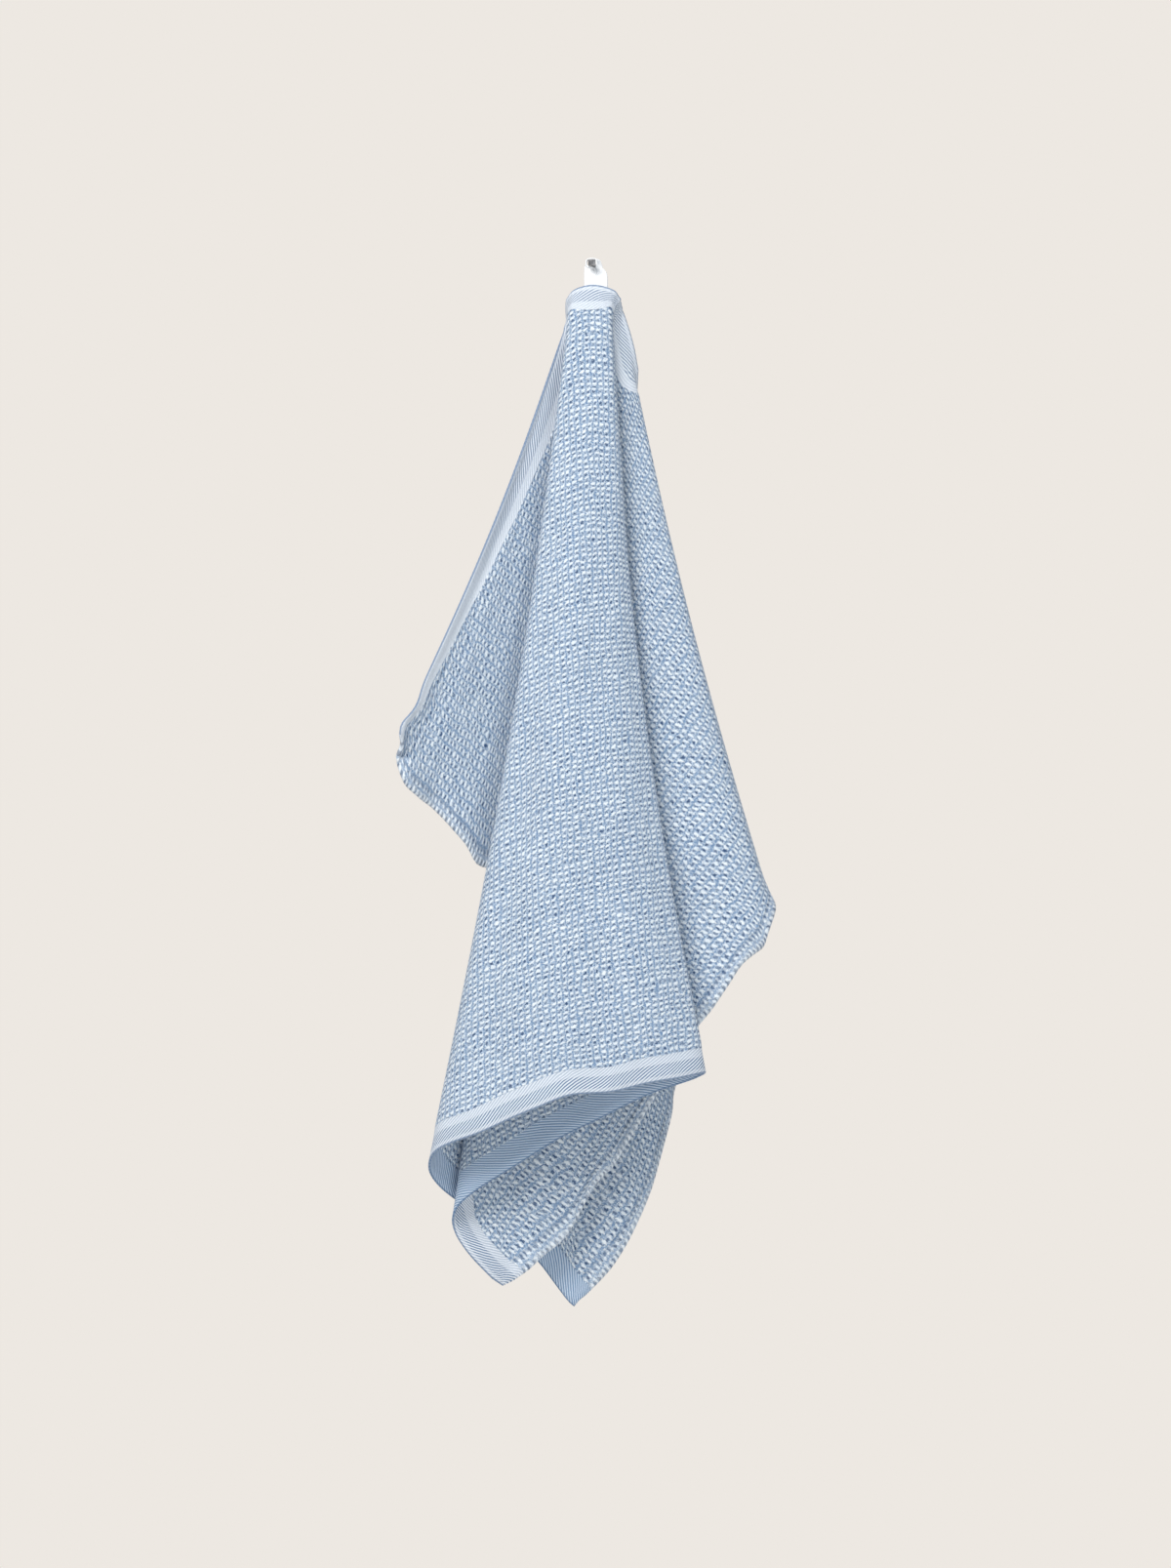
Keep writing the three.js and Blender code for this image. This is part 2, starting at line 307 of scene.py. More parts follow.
class TowelSizes(PropertyGroup):
    """Sizes and colours of the woven cloth."""
    width: Length(name="Width", description="Flat length of each banded edge", default=0.6)
    length: Length(name="Length", description="Flat length of each selvedge", default=0.5)
    body_thickness: Length(
        name="Body thickness", description="Thickness of the textured weave", default=0.0024)
    band_thickness: Length(
        name="Band thickness", description="Thickness of the bands and selvedges", default=0.0014)
    roll: Length(
        name="Roll", description="Extra thickness at the selvedge's rolled outer edge", default=0.0012)
    band: Length(name="Band", description="Width of the twill band at top and bottom", default=0.0150)
    selvedge: Length(name="Selvedge", description="Width of the plain selvedge", default=0.0055)
    cell_width: Length(name="Cell width", description="Spacing of the weave's columns", default=0.00425)
    cell_height: Length(name="Cell height", description="Spacing of the weave's rows", default=0.0037)
    white: Tint(
        name="White yarn", description="Colour of the white floats", default=(0.87, 0.92, 0.955))
    ground: Tint(
        name="Band ground", description="Colour between the twill lines", default=(0.77, 0.815, 0.87))
    pale: Tint(name="Pale yarn", description="Colour between the floats", default=(0.42, 0.545, 0.71))
    blue: Tint(
        name="Blue yarn", description="Colour of the column lines and twill",
        default=(0.15, 0.265, 0.445))
    # The deep colour is the darkest blue mixed into the lines, and painted shade at the bottom of the
    # weave's holes.
    deep: Tint(
        name="Deep yarn and hole shade", description="Colour at the bottom of the holes",
        default=(0.042, 0.092, 0.20))


class LoopSizes(PropertyGroup):
    """Sizes and colour of the hanging loop."""
    width: Length(name="Width", description="Width of the tape", default=0.00675)
    thickness: Length(name="Thickness", description="Thickness of the tape", default=0.001)
    white: Tint(name="Cotton", description="Colour of the tape", default=(0.97, 0.97, 0.97))


class HookSizes(PropertyGroup):
    """Sizes and colour of the bent steel hook."""
    plate_width: Length(
        name="Plate width", description="Width of the plate on the wall",
        default=HOOK_HIGH.x - HOOK_LOW.x)
    plate_top: Length(name="Plate top", description="Where the plate starts to narrow", default=0.012)
    neck_bottom: Length(
        name="Neck bottom", description="Where the plate has narrowed to the neck", default=0.024)
    neck_width: Length(name="Neck width", description="Width of the neck", default=0.0044)
    strip: Length(name="Strip", description="Thickness of the steel strip", default=0.0024)
    bend_radius: Length(name="Bend", description="Inner radius of the bend", default=0.002)
    arm_bottom: Length(name="Arm", description="Height of the arm's lower face", default=0.0390)
    corner: Length(name="Corner", description="Radius of the plate's lower corners", default=0.004)
    easing: Length(
        name="Easing", description="Width of the rounding along the sharp edges", default=0.00035)
    steel: Tint(name="Steel", description="Colour of the bare steel", default=(0.40, 0.385, 0.38))


class StageSettings(PropertyGroup):
    """Camera, light and floor."""
    view_distance: Length(name="Distance", description="From the camera to the cloth", default=4.0)
    view_height: Length(
        name="Picture height", description="Height of the picture at the cloth", default=0.9642)
    floor_drop: Length(name="Floor drop", description="From the origin down to the floor", default=1.7)
    paper: Tint(name="Paper", description="Colour of the background", default=(0.847, 0.807, 0.760))
    glow: Tint(
        name="Glow", description="Colour of the light from all round", default=(0.73, 0.82, 0.93))


class Wire:
    """A socket with arithmetic: every operation adds nodes to its tree."""

    # Places of a Mix node's colour sockets
    FACTOR, LOW, HIGH, RESULT = 0, 6, 7, 2

    def __init__(self, tree, socket):
        self.tree = tree
        self.socket = socket

    def node(self, kind, settings, inputs, output=0):
        """Adds a node, sets it up, feeds its sockets and returns one of its outputs."""
        made = self.tree.nodes.new(kind)
        for name, value in settings.items():
            setattr(made, name, value)
        for key, value in inputs.items():
            if isinstance(value, Wire):
                self.tree.links.new(value.socket, made.inputs[key])
            else:
                made.inputs[key].default_value = value
        return Wire(self.tree, made.outputs[output])

    def math(self, operation, *values):
        return self.node("ShaderNodeMath", {"operation": operation}, dict(enumerate(values)))

    def __add__(self, other):
        return self.math("ADD", self, other)

    def __radd__(self, other):
        return self.math("ADD", other, self)

    def __sub__(self, other):
        return self.math("SUBTRACT", self, other)

    def __rsub__(self, other):
        return self.math("SUBTRACT", other, self)

    def __mul__(self, other):
        return self.math("MULTIPLY", self, other)

    def __truediv__(self, other):
        return self.math("DIVIDE", self, other)

    def __abs__(self):
        return self.math("ABSOLUTE", self)

    def floor(self):
        return self.math("FLOOR", self)

    def sine(self):
        return self.math("SINE", self)

    def root(self):
        return self.math("SQRT", self)

    def least(self, other):
        return self.math("MINIMUM", self, other)

    def wrapped(self):
        """Signed distance to the nearest whole number."""
        return self - (self + 0.5).floor()

    def centred(self):
        """A value from 0 to 1, moved to lie around 0."""
        return self - 0.5

    def between(self, low, high):
        """A value from 0 to 1, spread from low to high."""
        return low + self * (high - low)

    def step(self, start, end):
        """A soft step from 0 at start to 1 at end, which may be the lower."""
        settings = {"interpolation_type": "SMOOTHSTEP"}
        if start < end:
            return self.node("ShaderNodeMapRange", settings, {0: self, 1: start, 2: end, 3: 0.0, 4: 1.0})
        return self.node("ShaderNodeMapRange", settings, {0: self, 1: end, 2: start, 3: 1.0, 4: 0.0})

    def colour(self, low, high):
        """The colour low where this value is 0 and high where it is 1."""
        inputs = {self.FACTOR: self, self.LOW: as_colour(low), self.HIGH: as_colour(high)}
        return self.node("ShaderNodeMix", {"data_type": "RGBA"}, inputs, self.RESULT)

    def tinted(self, amount):
        """This colour, lighter or darker by a value around 1."""
        grey = self.node("ShaderNodeCombineColor", {}, dict.fromkeys(range(3), amount))
        inputs = {self.FACTOR: 1.0, self.LOW: self, self.HIGH: grey}
        settings = {"data_type": "RGBA", "blend_type": "MULTIPLY"}
        return self.node("ShaderNodeMix", settings, inputs, self.RESULT)


def as_colour(value):
    """A colour socket's value: a wire as it is, or a plain colour with full alpha."""
    return value if isinstance(value, Wire) else (*value, 1.0)


class Finish:
    """A new node material, with its shader and the means to feed it."""

    def __init__(self, name):
        self.material = bpy.data.materials.new(name)
        self.material.use_nodes = True
        self.tree = self.material.node_tree
        self.shader = self.tree.nodes["Principled BSDF"]
        self.start = Wire(self.tree, None)

    def set(self, **numbers):
        """Sets numbers or colours that are the same all over the surface."""
        for name, value in numbers.items():
            self.shader.inputs[name.replace("_", " ")].default_value = value

    def feed(self, name, wire):
        self.tree.links.new(wire.socket, self.shader.inputs[name])

    def flat_cloth(self, map_name=CLOTH_MAP):
        """Places in the flat cloth, in metres: across from the middle and down from the top."""
        place = self.start.node("ShaderNodeUVMap", {"uv_map": map_name}, {})
        return place, *self.parts(place)

    def object_place(self):
        place = self.start.node("ShaderNodeTexCoord", {}, {}, "Object")
        return place, *self.parts(place)

    def parts(self, vector):
        split = self.start.node("ShaderNodeSeparateXYZ", {}, {0: vector}, "X")
        outputs = split.socket.node.outputs
        return [Wire(self.tree, outputs[axis]) for axis in "XYZ"]

    def vector(self, x, y, z=0.0):
        return self.start.node("ShaderNodeCombineXYZ", {}, {0: x, 1: y, 2: z})

    def noise(self, place, scale, detail=2.0, output=0):
        inputs = {"Vector": place, "Scale": scale, "Detail": detail, "Roughness": 0.55}
        return self.start.node("ShaderNodeTexNoise", {}, inputs, output)

    @staticmethod
    def mix(first, second, share):
        """A plain colour between two others."""
        return tuple(a + (b - a) * share for a, b in zip(first, second))

    def bump(self, height, distance, strength):
        inputs = {"Height": height, "Distance": distance, "Strength": strength}
        self.feed("Normal", self.start.node("ShaderNodeBump", {}, inputs))


def smooth(value, start, end):
    """A soft step from 0 to 1 for arrays."""
    t = np.clip((value - start) / (end - start), 0.0, 1.0)
    return t * t * (3.0 - 2.0 * t)


def curve_through(points, places):
    """Centripetal Catmull-Rom curve through points, at places counted in points from the first."""
    padded = np.vstack([2 * points[0] - points[1], points, 2 * points[-1] - points[-2]])
    first = np.clip(np.floor(places).astype(int), 0, len(points) - 2)
    w = (places - first)[:, None]
    p0, p1, p2, p3 = (padded[first + k] for k in range(4))
    d0, d1, d2 = (np.linalg.norm(b - a, axis=1)[:, None] ** 0.5 for a, b in ((p0, p1), (p1, p2), (p2, p3)))
    start = d1 * ((p1 - p0) / d0 - (p2 - p0) / (d0 + d1) + (p2 - p1) / d1)
    end = d1 * ((p2 - p1) / d1 - (p3 - p1) / (d1 + d2) + (p3 - p2) / d2)
    square = -3 * p1 + 3 * p2 - 2 * start - end
    cube = 2 * p1 - 2 * p2 + start + end
    return p1 + start * w + square * w**2 + cube * w**3


def edge_curve(rows, edges):
    """Points of a table's curve at places along its first column."""
    rows = np.array(rows)
    points = np.stack([rows[:, 1], -rows[:, 3], rows[:, 2]], axis=1)
    return curve_through(points, np.interp(edges, rows[:, 0], np.arange(len(rows))))


def columns_between(start, end, count):
    """Places along the far edge, closer together at the fold tips."""
    places = np.linspace(start, end, EDGE_SAMPLES)
    near = sum(np.exp(-((places - tip) / TIP_REACH) ** 2) for tip in FOLD_TIPS)
    density = 1.0 + TIP_DENSITY * near
    share = np.concatenate([[0.0], np.cumsum((density[1:] + density[:-1]) / 2)])
    return np.interp(np.linspace(0.0, share[-1], count + 1), share, places)


def cloth_grid(sizes):
    """Places along the far edge, the hung cloth's middle surface and its places in the flat cloth."""
    corners = (0.0, sizes.length, sizes.length + sizes.width, 2 * sizes.length + sizes.width)
    tables = (LEFT_SELVEDGE, BOTTOM_BAND, RIGHT_SELVEDGE)
    edges, far = [], []
    for side, rows in enumerate(tables):
        places = columns_between(corners[side], corners[side + 1], SIDE_COLUMNS[side])
        keep = slice(0 if side == 0 else 1, None)
        edges.append(places[keep])
        far.append(edge_curve(rows, places)[keep])
    edges = np.concatenate(edges)
    far = np.concatenate(far)
    top = edge_curve(TOP_EDGE, edges)
    down = np.linspace(0.0, 1.0, CLOTH_ROWS + 1)
    bow, flare = (np.interp(edges, *np.array(TOP_EDGE)[:, (0, column)].T) for column in (4, 5))
    points = top[:, None] + (far - top)[:, None] * down[None, :, None]
    points[..., 0] += bow[:, None] * np.sin(math.pi * down) + flare[:, None] * (1 - down) ** FLARE_POWER

    run = np.concatenate([[0.0], np.cumsum(np.linalg.norm(np.diff(top, axis=0), axis=1))])
    across_top = run - np.interp(TOP_MIDDLE, edges, run)
    half = sizes.width / 2
    rim_across = np.clip(edges - sizes.length - half, -half, half)
    left_down = np.interp(edges, *np.array(DRAWN_CORNER).T)
    rim_down = np.clip(np.minimum(left_down, corners[3] - edges), 0.0, sizes.length)
    rim_down[(edges >= corners[1]) & (edges <= corners[2])] = sizes.length
    flat = np.stack([
        across_top[:, None] * (1 - down) + rim_across[:, None] * down,
        rim_down[:, None] * down,
    ], axis=2)
    return edges, points, flat


def surface_normals(points):
    """Unit normals on the cloth's face side."""
    along = np.gradient(points, axis=0)
    down = np.gradient(points, axis=1)
    normals = np.cross(down, along)
    return normals / np.linalg.norm(normals, axis=2, keepdims=True)


def add_edge_waves(edges, points):
    """Lifts and pulls the cloth's edge in uneven waves that die out into the cloth."""
    inward = np.linalg.norm(points - points[:, -1:], axis=2)
    outward = points[:, -1] - points[:, -2]
    outward /= np.linalg.norm(outward, axis=1, keepdims=True)
    lift = np.zeros(points.shape[:2])
    pull = np.zeros(points.shape[:2])
    for place, reach, depth, height, stretch in EDGE_WAVES:
        wave = np.exp(-((edges - place) / reach) ** 2)[:, None] * np.exp(-((inward / depth) ** 2))
        lift += height * wave
        pull += stretch * wave
    return points + lift[..., None] * surface_normals(points) + pull[..., None] * outward[:, None]


def add_lumps(edges, points):
    """Pushes the drawn-up left corner into small lumps."""
    shift = np.zeros_like(points)
    for x, z, reach, push_x, push_z, push_out in LUMPS:
        gap = np.hypot(points[..., 0] - x, points[..., 2] - z)
        shift += np.exp(-((gap / reach) ** 2))[..., None] * np.array((push_x, -push_out, push_z))
    return points + shift * (edges < LUMPED_EDGE)[:, None, None]


def add_creases(points, flat):
    """Raises or sinks the cloth along soft straight creases."""
    lift = np.zeros(points.shape[:2])
    for u0, v0, u1, v1, reach, height in CREASES:
        start, span = np.array((u0, v0)), np.array((u1 - u0, v1 - v0))
        share = ((flat - start) @ span) / (span @ span)
        nearest = start + np.clip(share, 0.0, 1.0)[..., None] * span
        gap = np.linalg.norm(flat - nearest, axis=2)
        ends = smooth(share, *CREASE_FADE) * smooth(1.0 - share, *CREASE_FADE)
        lift += height * np.exp(-((gap / reach) ** 2)) * ends
    return points + lift[..., None] * surface_normals(points)


def cloth_thickness(flat, bands, sizes):
    """Full in the textured body, thinner in the bands and selvedges, with a rolled outer edge."""
    from_band = np.minimum(bands[..., 1], sizes.length - bands[..., 1]) - sizes.band
    from_edge = sizes.width / 2 - np.abs(flat[..., 0])
    body = smooth(from_band, *BODY_FADE) * smooth(from_edge - sizes.selvedge, *BODY_FADE)
    roll = sizes.roll * np.exp(-((from_edge / ROLL_REACH) ** 2)) * smooth(from_band, *ROLL_FADE)
    return sizes.band_thickness + (sizes.body_thickness - sizes.band_thickness) * body + roll


def nearest_on_edge(points, flat, line, along):
    """Each point's place along an edge line of the cloth and its distance from it.

    Only places within BAND_WINDOW of the point's own place across the flat cloth count, so that
    other layers of the folds aren't taken for neighbours.
    """
    tangent = np.gradient(line, axis=0)
    step = np.linalg.norm(tangent, axis=1)
    tangent /= step[:, None]
    rate = np.gradient(along) / step
    place = np.zeros(points.shape[:2])
    gap = np.full(points.shape[:2], np.inf)
    for column, spots in enumerate(points):
        offset = spots[:, None] - line[None]
        run = (offset * tangent).sum(axis=2)
        distance = np.linalg.norm(offset, axis=2)
        distance[np.abs(flat[column, :, :1] - along) > BAND_WINDOW] = np.inf
        best = distance.argmin(axis=1)
        rows = np.arange(len(spots))
        reach = np.clip(run[rows, best], -step[best], step[best])
        place[column] = along[best] + rate[best] * reach
        gap[column] = np.sqrt(np.maximum(distance[rows, best] ** 2 - reach ** 2, 0.0))
    return place, gap


def band_places(edges, points, flat, sizes):
    """Places in the flat cloth as the bands see them, with true distances from the banded edges."""
    left, right, side = FRONT_LEFT, FRONT_RIGHT, SIDE_FOLD
    low = (edges >= sizes.length) & (edges <= sizes.length + sizes.width)
    bands = flat.copy()
    bands[..., 1] = np.clip(flat[..., 1], BAND_REACH, sizes.length - BAND_REACH)

    def lay(panel, line, along, lower, shares=((0.0, 1.0),)):
        place, gap = nearest_on_edge(points[panel], flat[panel], line, along)
        gap = gap / np.interp(place, *np.array(shares).T)
        near = gap < BAND_REACH
        down = sizes.length - gap if lower else gap
        bands[panel] = np.where(near[..., None], np.stack([place, down], axis=2), bands[panel])

    lay(edges >= 0.0, points[low, -1], flat[low, -1, 0], True)
    panel = edges < left
    line = np.concatenate([points[0, :0:-1], points[panel, 0]])
    lay(panel, line, np.concatenate([flat[0, :0:-1, 0], flat[panel, 0, 0]]), False, LEFT_BAND)
    panel = (edges > right) & (edges <= side)
    lay(panel, points[panel, 0], flat[panel, 0, 0], False)
    panel = edges > side
    line = np.concatenate([points[panel, 0], points[-1, 1:]])
    lay(panel, line, np.concatenate([flat[panel, 0, 0], flat[-1, 1:, 0]]), False)

    front = (edges >= left) & (edges <= right)
    turned = ((edges[front] - TOP_MIDDLE) / (right - TOP_MIDDLE))[:, None] ** 2
    drop = flat[front, :, 1] * (1.0 + BAND_NARROWING * turned)
    bands[front, :, 1] = np.where(drop < BAND_REACH, drop, bands[front, :, 1])
    return bands


def sheet_mesh(name, points, maps, thickness):
    """A closed sheet with a rounded rim: face side in slot 0, back in slot 1, and its named UV maps."""
    columns, rows = points.shape[0], points.shape[1]
    normals = surface_normals(points)
    half = (thickness / 2)[..., None] * normals
    count = columns * rows
    ring = np.concatenate([
        np.arange(columns) * rows + rows - 1,
        (columns - 1) * rows + np.arange(rows - 2, -1, -1),
        np.arange(columns - 2, -1, -1) * rows,
        np.arange(1, rows - 1),
    ])
    middle = points.reshape(-1, 3)
    inner = ring_inner(columns, rows, ring)
    outward = middle[ring] - middle[inner]
    outward /= np.linalg.norm(outward, axis=1, keepdims=True)
    rim = middle[ring] + outward * (thickness.reshape(-1)[ring] / 2)[:, None]
    vertices = np.concatenate([(points + half).reshape(-1, 3), (points - half).reshape(-1, 3), rim])

    a = (np.arange(columns - 1)[:, None] * rows + np.arange(rows - 1)[None, :]).ravel()
    face = np.stack([a, a + 1, a + rows + 1, a + rows], axis=1)
    back = count + face[:, ::-1]
    after = np.roll(ring, -1)
    edge = 2 * count + np.arange(len(ring))
    edge_after = np.roll(edge, -1)
    upper = np.stack([ring, edge, edge_after, after], axis=1)
    lower = np.stack([edge, count + ring, count + after, edge_after], axis=1)
    quads = np.concatenate([face, back, upper, lower])

    mesh = bpy.data.meshes.new(name)
    mesh.from_pydata(vertices.tolist(), [], quads.tolist())
    slots = np.zeros(len(quads), dtype=np.int32)
    slots[len(face):len(face) + len(back)] = 1
    slots[len(face) + len(back) + len(upper):] = 1
    mesh.polygons.foreach_set("material_index", slots)
    mesh.polygons.foreach_set("use_smooth", np.ones(len(quads), dtype=bool))
    for map_name, places in maps.items():
        spots = places.reshape(-1, 2)
        spots = np.concatenate([spots, spots, spots[ring]])
        layer = mesh.uv_layers.new(name=map_name)
        layer.uv.foreach_set("vector", spots[quads.ravel()].astype(np.float32).ravel())
    mesh.update()
    return mesh


def ring_inner(columns, rows, ring):
    """For each point of a grid's rim, the next point inwards."""
    i, j = np.divmod(ring, rows)
    return np.clip(i, 1, columns - 2) * rows + np.clip(j, 1, rows - 2)


def add_object(mesh, materials):
    """A new piece at the origin that rides on the fixed body."""
    piece = bpy.data.objects.new(mesh.name, mesh)
    bpy.context.collection.objects.link(piece)
    for material in materials:
        mesh.materials.append(material)
    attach(piece, ROOT)
    return piece


def oval(across, down, shape, jitter):
    """A soft slanted oval in each cell of the weave, 1 inside."""
    centre_across, centre_down, half_width, half_height = shape
    x = (across - centre_across + jitter[0]).wrapped()
    y = (down - centre_down + jitter[1]).wrapped()
    cosine, sine = math.cos(OVAL_SLANT), math.sin(OVAL_SLANT)
    along = (x * cosine - y * sine) / half_width
    over = (x * sine + y * cosine) / half_height
    return (along * along + over * over).root().step(*OVAL_EDGE)


def weave_look(finish, sizes, drift):
    """Colour and height of the textured body: white floats, holes with painted shade at their bottom, and
    column lines.
    """
    place, u, v, _ = finish.flat_cloth()
    tremor = finish.parts(finish.noise(place, TREMOR_SCALE, output="Color"))
    across = u / sizes.cell_width + drift[0].centred() * DRIFT_ACROSS + tremor[0].centred() * TREMOR
    down = v / sizes.cell_height + drift[1].centred() * DRIFT_DOWN + tremor[1].centred() * TREMOR
    cell = finish.vector(across.floor(), down.floor())
    chance = finish.parts(finish.start.node(
        "ShaderNodeTexWhiteNoise", {"noise_dimensions": "2D"}, {"Vector": cell}, "Color"))
    grit = finish.parts(finish.noise(place, GRIT_SCALE, output="Color"))
    jitter = [a.centred() * CHANCE + b.centred() * GRIT for a, b in zip(chance[:2], grit[:2])]

    floats, holes, ticks = (
        oval(across, down, shape, jitter) for shape in (FLOAT_OVAL, HOLE_OVAL, TICK_OVAL))
    lines = abs((across + jitter[0]).wrapped()).step(*COLUMN_EDGE)
    shaded = finish.mix(sizes.pale, sizes.blue, 0.5)
    lit = finish.mix(sizes.pale, sizes.white, 0.5)
    colour = grit[2].step(0.34, 0.66).colour(shaded, lit)
    colour = (lines * chance[1].between(0.60, 1.0)).colour(colour, sizes.blue)
    colour = (ticks * chance[2].between(0.10, 0.50)).colour(colour, sizes.white)
    # Painted shade: the bottoms of the holes take the deep colour, darker than the blue yarn, as shade in
    # them.
    colour = (holes * chance[0].between(0.50, 1.0)).colour(colour, sizes.deep)
    colour = (floats * chance[2].between(0.72, 1.0)).colour(colour, sizes.white)
    return colour, floats * 0.9 - holes * 0.8 - lines * 0.3


def band_look(finish, sizes, drift, back, line_colour):
    """Colour and height of the twill bands, which are bolder along their middle on the face side."""
    _, s, t, _ = finish.flat_cloth(BAND_MAP)
    run = s * math.sin(TWILL_SLANT) + t * math.cos(TWILL_SLANT) + drift[0].centred() * TWILL_WANDER
    furrows = (run * (math.tau / TWILL_PITCH)).sine().step(-0.3, 0.7)
    if back:
        ground = finish.mix(sizes.pale, sizes.white, 0.35)
        return (furrows * 0.9).colour(ground, sizes.blue), furrows * -0.5
    from_band = t.least(sizes.length - t)
    from_bold = abs(from_band - sizes.band * BOLD_PLACE)
    bold_zone = from_bold.step(sizes.band * BOLD_END, sizes.band * BOLD_FULL)
    lowest = t.step(sizes.length * 0.4, sizes.length * 0.6)
    worn = 1.0 - s.step(*TWILL_FADE) * (1.0 - lowest) * 0.8
    shade = furrows * worn * (0.26 + lowest * 0.20 + bold_zone * 0.48)
    return shade.colour(sizes.ground, line_colour), 0.35 - furrows * (0.2 + bold_zone * 0.3)


def cloth_finish(name, sizes, back):
    """Cotton cloth: the textured body, with twill bands and rolled selvedges."""
    finish = Finish(name)
    place, u, v, _ = finish.flat_cloth()
    drift = finish.parts(finish.noise(place, DRIFT_SCALE, output="Color"))
    line_colour = finish.mix(sizes.blue, sizes.deep, 0.5)
    colour, height = weave_look(finish, sizes, drift)

    band_colour, band_height = band_look(finish, sizes, drift, back, line_colour)
    _, _, t, _ = finish.flat_cloth(BAND_MAP)
    from_band = t.least(sizes.length - t)
    from_inner = from_band + drift[2].centred() * BAND_WANDER
    band = from_inner.step(sizes.band + BAND_BLUR, sizes.band - BAND_BLUR)
    colour = band.colour(colour, band_colour)
    colour = (from_band.step(*RIM_LINE) * 0.75).colour(colour, line_colour)
    height = height * (1.0 - band) + band_height * band

    from_selvedge = sizes.width / 2 - abs(u)
    inner = (sizes.selvedge + SELVEDGE_BLUR, sizes.selvedge - SELVEDGE_BLUR)
    selvedge = from_selvedge.step(*inner) * (1.0 - band)
    turns = (v * (math.tau / sizes.cell_height) + drift[2] * 8.0).sine()
    roll = from_selvedge.step(*ROLL_EDGE) * (1.0 - band)
    groove = abs(from_selvedge - sizes.selvedge).step(*GROOVE_EDGE) * (1.0 - band)
    colour = (selvedge * 0.10 + roll * turns.step(-0.9, 0.3) * 0.22).colour(colour, sizes.white)
    colour = (groove * 0.38).colour(colour, line_colour)
    height = height - groove * 0.7 + roll * turns * 0.4

    fibre = finish.noise(finish.vector(u * FIBRE_SCALE[0], v * FIBRE_SCALE[1]), 1.0)
    mottle = finish.noise(place, MOTTLE_SCALE, 3.0)
    tone = 0.73 + mottle * 0.14 + fibre * 0.40
    finish.feed("Base Color", colour.tinted(tone))
    finish.feed("Roughness", fibre.between(0.86, 0.98))
    finish.bump(height + fibre * 0.35, 0.0009, 0.75)
    finish.set(Sheen_Weight=0.25, Sheen_Roughness=0.5, Specular_IOR_Level=0.25)
    return finish.material


class TOWEL_OT_hang_cloth(Operator):
    """Hang the woven towel in its folds"""
    bl_idname = "towel.hang_cloth"
    bl_label = "Hang the cloth"

    def execute(self, context):
        sizes = context.scene.towel_sizes
        edges, points, flat = cloth_grid(sizes)
        points = add_creases(points, flat)
        points = add_lumps(edges, add_edge_waves(edges, points))
        bands = band_places(edges, points, flat, sizes)
        maps = {CLOTH_MAP: flat, BAND_MAP: bands}
        mesh = sheet_mesh("towel_cloth", points, maps, cloth_thickness(flat, bands, sizes))
        materials = [cloth_finish("towel_face", sizes, False), cloth_finish("towel_back", sizes, True)]
        piece = add_object(mesh, materials)
        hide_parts("towel")
        return {"FINISHED"}


def tape_finish(sizes):
    """White cotton tape with fine ribs across it and a firm edge."""
    finish = Finish("loop_cotton")
    place, along, across, _ = finish.flat_cloth()
    fibre = finish.noise(place, 2600.0, 3.0)
    ribs = (along * (math.tau / RIB_PITCH) + fibre.centred() * 2.0).sine()
    warp = (across * (math.tau / THREAD_PITCH)).sine()
    edge = abs(across).step(sizes.width * 0.40, sizes.width * 0.46)
    weave = ribs * 0.5 + warp * ribs * 0.3 + edge * 0.5
    white = tuple(sizes.white)
    shade = tuple(channel * 0.93 for channel in white)
    finish.feed("Base Color", (weave * 0.5 + 0.5).step(-0.2, 0.7).colour(shade, white))
    finish.feed("Roughness", fibre.between(0.80, 0.95))
    finish.bump(weave + fibre * 0.4, 0.0001, 0.35)
    finish.set(Sheen_Weight=0.2, Specular_IOR_Level=0.3)
    return finish.material


def tape_grid(sizes):
    """The tape's middle surface and its own places along and across."""
    rows = np.array(TAPE_PATH)
    middle = np.stack([rows[:, 0], -rows[:, 2], rows[:, 1]], axis=1)
    places = np.linspace(0.0, len(rows) - 1.0, TAPE_STEPS + 1)
    line = curve_through(middle, places)
    turn, pinch = (np.interp(places, np.arange(len(rows)), rows[:, column]) for column in (3, 4))
    turn = np.radians(turn)
    lanes = np.linspace(-0.5, 0.5, TAPE_LANES + 1) * sizes.width
    side = np.stack([np.cos(turn), np.sin(turn), np.zeros_like(turn)], axis=1)
    points = line[:, None] + (side * pinch[:, None])[:, None] * lanes[None, :, None]
    run = np.concatenate([[0.0], np.cumsum(np.linalg.norm(np.diff(line, axis=0), axis=1))])
    flat = np.stack(np.broadcast_arrays(run[:, None], lanes[None, :]), axis=2)
    return points, flat


class TOWEL_OT_sew_loop(Operator):
    """Sew the tape loop behind the top band"""
    bl_idname = "towel.sew_loop"
    bl_label = "Sew the hanging loop"

    def execute(self, context):
        sizes = context.scene.towel_loop
        points, flat = tape_grid(sizes)
        thickness = np.full(points.shape[:2], sizes.thickness)
        mesh = sheet_mesh("loop_tape", points, {CLOTH_MAP: flat}, thickness)
        cotton = tape_finish(sizes)
        piece = add_object(mesh, [cotton, cotton])
        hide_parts("hanging_loop")
        return {"FINISHED"}


